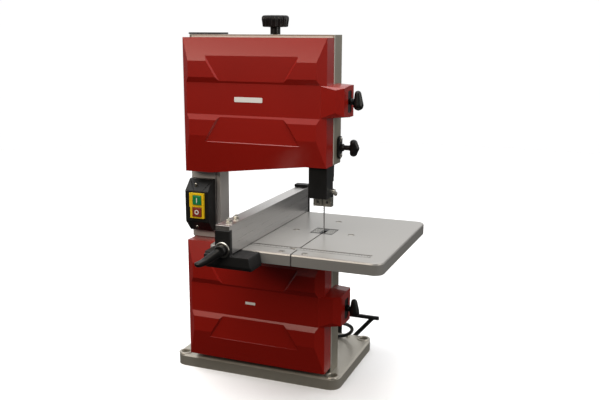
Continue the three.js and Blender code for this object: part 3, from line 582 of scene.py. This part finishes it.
def clad(node, material):
    """A CAD node in its material."""
    piece = frame["nodes"][node]
    piece.data.materials.clear()
    piece.data.materials.append(material)
    return piece


def weld(piece):
    """Joins the faces' separate corners."""
    joined = piece.modifiers.new("weld", "WELD")
    joined.merge_threshold = 0.00001


def dress(material, width, *nodes, segments=2, angle=30):
    """Gives CAD nodes a material, makes their flat faces whole and rounds their sharp edges.

    A width of 0 leaves the node's own chamfers as they are.
    """
    for node in nodes:
        piece = clad(node, material)
        if not width:
            continue
        piece.data.shade_smooth()
        weld(piece)
        flat = piece.modifiers.new("whole_faces", "DECIMATE")
        flat.decimate_type, flat.angle_limit = "DISSOLVE", math.radians(0.6)
        bevel = piece.modifiers.new("rounded", "BEVEL")
        bevel.width, bevel.segments = width * MM, segments
        bevel.limit_method, bevel.angle_limit = "ANGLE", math.radians(angle)
        bevel.use_clamp_overlap = True
        normals = piece.modifiers.new("normals", "WEIGHTED_NORMAL")
        normals.keep_sharp = True


def soften(material, voxel, rounds, *nodes):
    """Gives CAD nodes of moulded plastic a material, and melts every edge into the next face."""
    for node in nodes:
        piece = clad(node, material)
        weld(piece)
        remesh = piece.modifiers.new("even_faces", "REMESH")
        remesh.mode, remesh.voxel_size, remesh.use_smooth_shade = "VOXEL", voxel * MM, True
        smooth = piece.modifiers.new("melted", "SMOOTH")
        smooth.factor, smooth.iterations = 0.5, rounds


dress(RED, 1.1, "upper_door", "lower_door", segments=3, angle=7)
dress(FRAME_PAINT, 0.9, "upper_housing", "lower_housing")
# the column and its cover take a lighter copy of the frame paint, which is painted light
dress(PAINTED_LIGHT_COLUMN, 0.9, "column", "column_cover")
dress(BASE_PAINT, 1.6, "base_plate", segments=3)
dress(TABLE_PAINT, 0, "table")
dress(TRUNNION, 0.8, "trunnion_sector", "trunnion_bracket", "lower_guide_holder", "post_bracket")
dress(BLACK, 0.8, "top_pad", "dust_port", "guide_knob_flange", "fence_end_cap",
      "motor_fan_cover", "table_insert", "upper_latch_plate", "lower_latch_plate")
dress(ENAMEL, 0.6, "blade_guard", "guide_holder", "rear_bar", "motor_housing", "guide_post")
dress(STEEL, 0.4, "upper_latch_tongue", "lower_latch_tongue", "axle_arm", "carriage_channel",
      "wheel_carriage", "tension_spring", "tension_screw", "guide_pinion", "motor_shaft")
dress(BRIGHT, 0.4, "guide_block_left", "guide_block_right", "upper_thrust_bearing", "lower_thrust_bearing")
dress(BLADE, 0.05, "saw_blade")
dress(CAST, 0.8, "upper_wheel", "lower_wheel")
dress(FENCE, 0.7, "fence_bar")
dress(TYRE, 0.5, "upper_tyre", "lower_tyre")
dress(YELLOW, 0.8, "switch_bezel")
dress(GREEN, 0.9, "start_button")
dress(STOP_RED, 0.9, "stop_button")
soften(BLACK_FINE, 0.7, 5, "upper_latch_knob", "lower_latch_knob", "tracking_knob", "guide_height_knob",
       "fence_lever", "tilt_lock_lever")
dress(BLACK, 1.6, "switch_box", segments=3)
soften(BLACK, 0.9, 7, "fence_head")

# ---------------------------------------------------------------- floor and light

ROOM_X, ROOM_Y, ROOM_R, ROOM_HEIGHT = -129, 88, 3150, 6000


def floor():
    """A round white floor, which gives no light back to the object."""
    piece = solid("floor", prism("z", circle(ROOM_X, ROOM_Y, ROOM_R + 50, 96), -6, -0.05))
    material, _, _ = shader("floor_paint", (0.93, 0.93, 0.94), 0.85)
    piece.data.materials.append(material)
    piece.visible_diffuse = piece.visible_glossy = False


def backdrop():
    """A white wall all round, seen by the camera alone, so that the light in the room can stay low."""
    low, high, thickness = -5, ROOM_HEIGHT, 10
    outer = ROOM_R + thickness
    wall = [(ROOM_R, low), (ROOM_R, high), (outer, high), (outer, low)]
    piece = solid("backdrop", turned("z", ROOM_X, ROOM_Y, wall, 96))
    material, _, _ = shader("backdrop_paint", (0, 0, 0), 1, Emission_Color=(1, 1, 1, 1), Emission_Strength=1)
    piece.data.materials.append(material)
    piece.visible_diffuse = piece.visible_glossy = piece.visible_shadow = piece.visible_transmission = False


def lamp(name, at, towards, size, power, colour):
    data = bpy.data.lights.new(name, "AREA")
    data.shape, data.size, data.size_y = "RECTANGLE", size[0], size[1]
    data.energy, data.color = power, colour
    piece = link(name, data)
    piece.location = at
    piece.rotation_mode = "QUATERNION"
    piece.rotation_quaternion = (Vector(towards) - Vector(at)).to_track_quat("-Z", "Y")


def studio(front, back, overhead):
    """A room that is dim at the front and low down, white at the back and brightest overhead."""
    world = bpy.data.worlds.new("studio")
    world.use_nodes = True
    tree = world.node_tree
    where = tree.nodes.new("ShaderNodeTexCoord")
    split = tree.nodes.new("ShaderNodeSeparateXYZ")
    tree.links.new(where.outputs["Generated"], split.inputs["Vector"])
    walls = tree.nodes.new("ShaderNodeMath")
    walls.operation = "MULTIPLY"
    tree.links.new(spread(tree, split.outputs["Y"], front, back, -0.25, 0.35), walls.inputs[0])
    tree.links.new(spread(tree, split.outputs["Z"], 0.1, 1, -0.06, 0.12), walls.inputs[1])
    total = tree.nodes.new("ShaderNodeMath")
    tree.links.new(walls.outputs["Value"], total.inputs[0])
    tree.links.new(spread(tree, split.outputs["Z"], 0, overhead, 0.45, 0.8), total.inputs[1])
    tree.links.new(total.outputs["Value"], tree.nodes["Background"].inputs["Strength"])
    tree.nodes["Background"].inputs["Color"].default_value = (1, 1, 1, 1)
    bpy.context.scene.world = world


floor()
backdrop()
studio(front=0.16, back=0.9, overhead=1.1)
lamp("overhead", (-0.1, -0.6, 2.0), (0, 0.05, 0.3), (1.6, 1.0), 23, (1, 0.98, 0.95))
lamp("front_left", (-0.9, -2.1, 1.3), (-0.1, -0.1, 0.5), (1.9, 0.5), 19, (1, 0.88, 0.74))
lamp("right", (2.1, -0.7, 0.9), (0, 0, 0.4), (0.6, 1.4), 14, (1, 0.95, 0.88))
bpy.context.scene.view_settings.view_transform = "Standard"

# ---------------------------------------------------------------- screws, nuts and rings

def bright(name, body, *shapes, width=0.2):
    """A small piece of bright steel."""
    detail(name, body, BRIGHT, *shapes, width=width, slot="bright_steel")


def screw(name, body, axis, at, r, rise):
    """A domed cross-slot screw: at is the middle of its seat, and rise its height along the axis."""
    x, y, z = at
    u, v, w = {"x": (y, z, x), "y": (x, z, y), "z": (x, y, z)}[axis]
    bright(name, body, pan_head(axis, u, v, w, w + rise, r), width=0.1)


def frame_screws():
    """Two in the switch box and two in the flange of the guide's knob."""
    box = span("switch_box")
    x = middle(box.x0, box.x1) - 4
    screw("switch_screw_top", "frame", "y", (x, box.y0 + 7.5, box.z1 - 9), 3.1, -2.4)
    screw("switch_screw_bottom", "frame", "y", (x, box.y0 + 8.5, box.z0 + 9), 3.1, -2.4)
    flange = span("guide_knob_flange")
    mid_y, mid_z = middle(flange.y0, flange.y1), middle(flange.z0, flange.z1)
    for way in (-1, 1):
        name = f"flange_screw_{'lower' if way < 0 else 'upper'}"
        screw(name, "frame", "x", (flange.x1 - 0.2, mid_y, mid_z + way * 14.2), 4, 3)


def table_screws():
    top = span("table").z1
    for i, (x, y) in enumerate([(-52, 2), (52, 2), (0, 87)]):
        screw(f"table_screw_{i}", "table", "z", (x, y, top - 1.7), 5.2, 1.2)


def fence_fasteners():
    """Two studs with a washer and a nut on the bar, and the ring that the lever turns in."""
    bar = span("fence_bar")
    x, top = bar.x0 + 13, bar.z1
    washer = [(0, top), (6, top), (6, top + 0.9), (0, top + 0.9)]
    stud = [(0, top + 5), (2.4, top + 5), (2.4, top + 7.2), (1.8, top + 7.8), (0, top + 7.8)]
    for i, y in enumerate((bar.y0 + 14, bar.y0 + 40)):
        bright(f"fence_washer_{i}", "fence", turned("z", x, y, washer, 24), width=0.15)
        bright(f"fence_nut_{i}", "fence", hexagon("z", x, y, top + 0.9, top + 5.4, 9))
        bright(f"fence_stud_{i}", "fence", turned("z", x, y, stud, 20), width=0.1)
    lever_x, lever_z = middle(bar.x0, bar.x1), 299
    front = span("fence_head").y0
    ring = [(9.6, front - 0.2), (13, front - 0.2), (13, front - 1.6), (12, front - 2.6), (9.6, front - 2.6)]
    bright("lever_ring", "fence", turned("y", lever_x, lever_z, ring))


def base_screw():
    screw("base_screw", "frame", "z", (-10, 184, span("base_plate").z1), 4.5, 4)


def seat_rings():
    """A low raised ring round each bolt seat of the base."""
    base = span("base_plate")
    inset, top = 15, base.z1
    ring = [(8.1, top - 0.4), (14, top - 0.4), (12.6, top + 1.8), (9, top + 1.8)]
    for i, x in enumerate((base.x0 + inset, base.x1 - inset)):
        for j, y in enumerate((base.y0 + inset, base.y1 - inset)):
            detail(f"seat_ring_{i}{j}", "frame", BASE_PAINT, turned("z", x, y, ring), width=0.5,
                   slot="base_casting")


# ---------------------------------------------------------------- blade

def blade():
    """An endless band round both wheels, with raked teeth along its front edge."""
    at = span("saw_blade")
    r = (at.x1 - at.x0) / 2
    centre_x, low_z, high_z = at.x0 + r, at.z0 + r, at.z1 - r
    straight = high_z - low_z
    arc = PI * r
    whole = 2 * (straight + arc)
    teeth, thickness = 336, 0.5

    def where(s):
        """The band's outer face and its outward direction, s along the loop from the cutting run's foot."""
        s %= whole
        if s < straight:
            return (centre_x + r, low_z + s), (1, 0)
        if s < straight + arc:
            a = (s - straight) / r
            return (centre_x + r * math.cos(a), high_z + r * math.sin(a)), (math.cos(a), math.sin(a))
        if s < 2 * straight + arc:
            return (centre_x - r, high_z - (s - straight - arc)), (-1, 0)
        a = PI + (s - 2 * straight - arc) / r
        return (centre_x + r * math.cos(a), low_z + r * math.sin(a)), (math.cos(a), math.sin(a))

    pitch = whole / teeth
    gullet, tip, back = at.y0 + 1.5, at.y0 + 0.05, at.y1 - 0.05
    points, faces = [], []
    steps = [(0, tip), (0.12, gullet), (0.55, gullet)]
    for i in range(teeth):
        for share, front in steps:
            (x, z), (nx, nz) = where((i - share) * pitch)
            for sunk in (-thickness, 0):
                for y in (front, back):
                    points.append((x + nx * sunk, y, z + nz * sunk))
    rows = len(steps)
    order = [i * rows + k for i in range(teeth) for k in reversed(range(rows))]
    corners = (0, 1, 3, 2)  # round the band's section: inner front, inner back, outer back and outer front
    for a, b in zip(order, order[1:] + order[:1]):
        p, q = 4 * a, 4 * b
        for i, j in zip(corners, corners[1:] + corners[:1]):
            faces.append([p + i, p + j, q + j, q + i])
    instead(solid("saw_blade_band", (points, faces)), "saw_blade", BLADE, 0)


# ---------------------------------------------------------------- table top

def ruler():
    """A strip in the table's groove, with a tick every 5 mm and a longer one every 10 mm."""
    top = span("table").z1
    x0, x1, y0, y1 = -88, 124, -124, -111
    low = top - 0.8
    print_low, print_high = low + 0.3, low + 0.5

    def pill(inset):
        return rounded_rectangle(x0 + inset, x1 - inset, y0 + inset, y1 - inset, 6 - inset)

    strip = prism("z", pill(0), low, low + 0.35)
    detail("ruler_strip", "table", TABLE_PAINT, strip, width=0.1, slot="table_casting")
    edge = prism("z", pill(1), print_low, print_high)
    inner = prism("z", pill(1.7), low, low + 1)
    outline = cut(solid("ruler_outline", edge), solid("ruler_inner", inner))
    finish_piece(round_edges(outline, 0), "table", DARK)
    ticks = []
    for i in range(41):
        x, tick_end = x0 + 6 + 5 * i, y1 - 2.4
        length = 4.5 if i % 2 == 0 else 2.8
        if abs(x) > 2:
            ticks.append(block(x - 0.35, x + 0.35, tick_end - length, tick_end, print_low, print_high))
    detail("ruler_ticks", "table", DARK, *ticks, width=0)


def table_marks():
    """Two bright plug screws by the front edge, each with a dark bar of painted shade for its slot, and an
    oval pin across the slot.
    """
    top = span("table").z1
    plug_y = -142
    plug = [(0, top - 0.3), (5.8, top - 0.3), (5.8, top + 0.3), (5, top + 0.7), (0, top + 0.7)]
    for i, x in enumerate((-20, 20)):
        bright(f"table_plug_{i}", "table", turned("z", x, plug_y, plug), width=0.15)
        # a dark bar of painted shade in place of the screw's slot
        slot = block(x - 3.6, x + 3.6, plug_y - 0.5, plug_y + 0.5, top + 0.5, top + 0.75)
        detail(f"plug_slot_painted_shade_{i}", "table", DARK, slot, width=0)
    oval, end = circle(-10, -118, 5, stretch=0.62), circle(-10, -118, 4.2, stretch=0.55)
    pin = stacked("z", [(oval, top - 0.5), (oval, top + 0.4), (end, top + 0.7)])
    bright("slot_pin", "table", pin, width=0.15)


def insert():
    """Rows of bright bars on the table's insert, on both sides of the blade's opening."""
    at = span("table_insert")
    bars = []
    for side in (-1, 1):
        for i in range(5):
            x = side * (6.5 + 2.9 * i) - 1
            bars.append(block(x - 0.7, x + 0.7, at.y0 + 5, at.y1 - 5, at.z1 - 0.3, at.z1 + 0.06))
    bright("insert_bars", "table", *bars, width=0)


# ---------------------------------------------------------------- blade guide

def guide_details():
    """The guard's side plate, the sockets in the guide blocks as dark discs of painted shade, and the two
    long screws that hold them.
    """
    body = frame["nodes"]["blade_guard"]["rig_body"]
    at = span("blade_guard")
    plate = block(at.x1 - 2, at.x1 - 0.1, at.y1 - 0.5, at.y1 + 12, at.z0 + 34, at.z0 + 72)
    detail("guard_side_plate", body, ENAMEL, plate, width=0.4, slot="black_steel")
    for side in ("left", "right"):
        seat = span("guide_block_" + side)
        x, z = middle(seat.x0, seat.x1), middle(seat.z0, seat.z1)
        low, high = seat.y0 + 0.2, seat.y0 - 0.08
        socket = turned("y", x, z, [(0, low), (2.4, low), (2.4, high), (0, high)], 24)
        # a dark disc of painted shade in place of the socket's hollow
        detail(f"socket_painted_shade_{side}", body, DARK, socket, width=0)
    shank_and_head = [(0, 9.5), (2.2, 9.5), (2.2, 17.5), (4.2, 18), (4.2, 21.4), (3.6, 22), (0, 22)]
    for i, (y, z) in enumerate(((-1, 367.5), (9, 361))):
        bright(f"guide_screw_{i}", body, turned("x", y, z, shank_and_head, 24))


# ---------------------------------------------------------------- fence

def fence():
    """The flat plate at the bar's front end, and three fine lines along the bar's side."""
    bar = span("fence_bar")
    plate = rounded_rectangle(bar.x0 + 0.1, bar.x1 - 0.1, bar.z1 - 8.2, bar.z1 - 0.1, 1)
    detail("fence_end_plate", "fence", FENCE, prism("y", plate, bar.y0 + 0.4, bar.y0 - 8.5), width=0.6,
           slot="fence_aluminium")
    lines = []
    for i in range(3):
        z = bar.z0 + 9 + 15 * i
        lines.append(block(bar.x1 - 0.02, bar.x1 + 0.06, bar.y0 + 1, bar.y1 - 1, z, z + 0.5))
    detail("fence_lines", "fence", STEEL, *lines, width=0)


# ---------------------------------------------------------------- knobs

def tension_knob():
    """A fluted hand wheel on a slim neck, with a dished top and a bright hexagonal screw end."""
    at = span("tension_knob")
    x, y, top = middle(at.x0, at.x1), middle(at.y0, at.y1), at.z1
    r = (at.x1 - at.x0) / 2 - 0.2
    flutes, depth, count = 16, 1.1, 192
    fluted = circle(x, y, r - depth, count, flutes, depth)

    def fluted_ring(share, drop):
        return [(x + (u - x) * share, y + (v - y) * share) for u, v in fluted], top - drop

    def plain_ring(radius, z):
        return circle(x, y, radius, count), z

    neck = [plain_ring(9, at.z0), plain_ring(9, top - 21), plain_ring(13, top - 20.6)]
    rim = [(0.86, 20.4), (0.93, 19.6), (0.97, 12), (1, 8), (1, 4), (0.95, 1.6), (0.86, 0.3)]
    wheel = [fluted_ring(share, drop) for share, drop in rim]
    dish = [plain_ring(r * 0.7, top - 0.2), plain_ring(r * 0.62, top - 2)]
    instead(solid("tension_hand_wheel", stacked("z", neck + wheel + dish)), "tension_knob", BLACK_FINE, 0)
    bright("tension_screw_end", "tension", hexagon("z", x, y, top - 2.2, top - 0.3, 9))


# ---------------------------------------------------------------- switch

def button_marks():
    """A bar on the start button and a ring on the stop button."""
    start, stop = span("start_button"), span("stop_button")
    x, z = middle(start.x0, start.x1), middle(start.z0, start.z1)
    bar = block(x - 0.9, x + 0.9, start.y0 - 0.25, start.y0 + 0.2, z - 4.6, z + 4.6)
    detail("start_mark", "start_button", WHITE, bar, width=0.1)
    x, z = middle(stop.x0, stop.x1), middle(stop.z0, stop.z1)
    sunk, proud = stop.y0 + 0.2, stop.y0 - 0.25
    ring = turned("y", x, z, [(2.6, sunk), (4.4, sunk), (4.4, proud), (2.6, proud)])
    detail("stop_mark", "stop_button", WHITE, ring, width=0.1)


def switch_ridges():
    """Two ridges down the slope of the switch box, from its top to the bezel."""
    box, bezel = span("switch_box"), span("switch_bezel")
    top, foot, thickness = box.z1 - 3, bezel.z1 + 3, 3
    near, far = box.y0 + 14, box.y0 - 0.6
    for i, (a, b) in enumerate([(box.x0 + 3, bezel.x0 + 7), (box.x1 - 3, bezel.x1 - 6)]):
        front = [(a, near, top), (a + 2, near, top), (b + 1, far, foot), (b - 1, far, foot)]
        ridge = front + [(x, y + thickness, z) for x, y, z in front]
        shape = (ridge, [[0, 1, 2, 3], [7, 6, 5, 4], [0, 4, 5, 1], [1, 5, 6, 2], [2, 6, 7, 3], [3, 7, 4, 0]])
        detail(f"switch_ridge_{i}", "frame", BLACK, shape, width=0.5, slot="black_plastic")


# ---------------------------------------------------------------- doors

def door_marks():
    """Plain bars in place of print."""
    mid = middle(span("upper_door").x0, 17)
    face = -42.35
    marks = [("upper_mark", "upper_door", 27, 4.4, 525.5), ("lower_mark", "lower_door", 10, 2.4, 153)]
    for name, body, half_width, half_height, z in marks:
        outline = rounded_rectangle(mid - half_width, mid + half_width, z - half_height, z + half_height,
                                    half_height * 0.4)
        detail(name, body, WHITE, prism("y", outline, face, face + 0.8), width=0.1)


def housing_lips():
    """A bead down each housing's right edge, broken by the latch's ear, and a lip along its top, both in a
    lighter paint that is a painted highlight on the rim.
    """
    for which, corner, ear in (("upper", 24, (497, 554)), ("lower", 16, (124, 188))):
        housing = span(which + "_housing")
        high = housing.z1 - 0.6
        for i, (a, b) in enumerate([(housing.z0 + corner, ear[0]), (ear[1], high)]):
            bead = block(14.6, 17.7, 0.15, 3.4, a, b)
            detail(f"{which}_bead_{i}", "frame", RIM_HIGHLIGHT, bead, width=0.8, slot="frame_paint")
        lip = block(-259, 15, 0.15, 1.6, high - 7.5, high)
        detail(f"{which}_lip", "frame", RIM_HIGHLIGHT, lip, width=0.4, slot="frame_paint")


def pad():
    """The rubber pad on the top's left end."""
    at = span("top_pad")
    shape = block(at.x0 + 0.2, at.x1 - 12, at.y0 + 0.2, at.y1 - 0.2, at.z0, at.z1 - 0.1)
    instead(solid("top_pad_rubber", shape), "top_pad", BLACK, 0.9)


# ---------------------------------------------------------------- motor

def motor():
    """Cooling fins round the motor, and on its fan cover slots drawn as dark patches of painted shade, and a
    round boss.
    """
    cover = span("motor_fan_cover")
    x, z = middle(cover.x0, cover.x1), middle(cover.z0, cover.z1)
    r = (cover.x1 - cover.x0) / 2
    fins = []
    for i in range(11):
        y = 56 + 7.4 * i
        fins.append(turned("y", x, z, [(r - 3, y), (r - 0.4, y), (r - 0.4, y + 2.2), (r - 3, y + 2.2)], 72))
    detail("motor_fins", "frame", ENAMEL, *fins, width=0.3, slot="black_steel")
    slots, rays, face = [], 18, cover.y1
    for i in range(rays):
        a = 2 * PI * i / rays
        for near, far in ((12, 22), (26, 38)):
            outline = [
                (x + out * math.cos(a) - side * math.sin(a), z + out * math.sin(a) + side * math.cos(a))
                for out, side in ((near, -1.1), (far, -1.7), (far, 1.7), (near, 1.1))
            ]
            slots.append(prism("y", outline, face - 0.5, face + 0.05))
    # dark patches of painted shade in place of the cover's slots
    detail("fan_slot_painted_shade", "frame", DARK, *slots, width=0)
    boss = [(0, face - 0.3), (9, face - 0.3), (8, face + 0.1), (0, face + 0.1)]
    detail("fan_badge", "frame", BLACK_FINE, turned("y", x, z, boss), width=0)


frame_screws()
table_screws()
fence_fasteners()
base_screw()
seat_rings()
blade()
ruler()
table_marks()
insert()
guide_details()
fence()
tension_knob()
button_marks()
switch_ridges()
door_marks()
housing_lips()
pad()
motor()
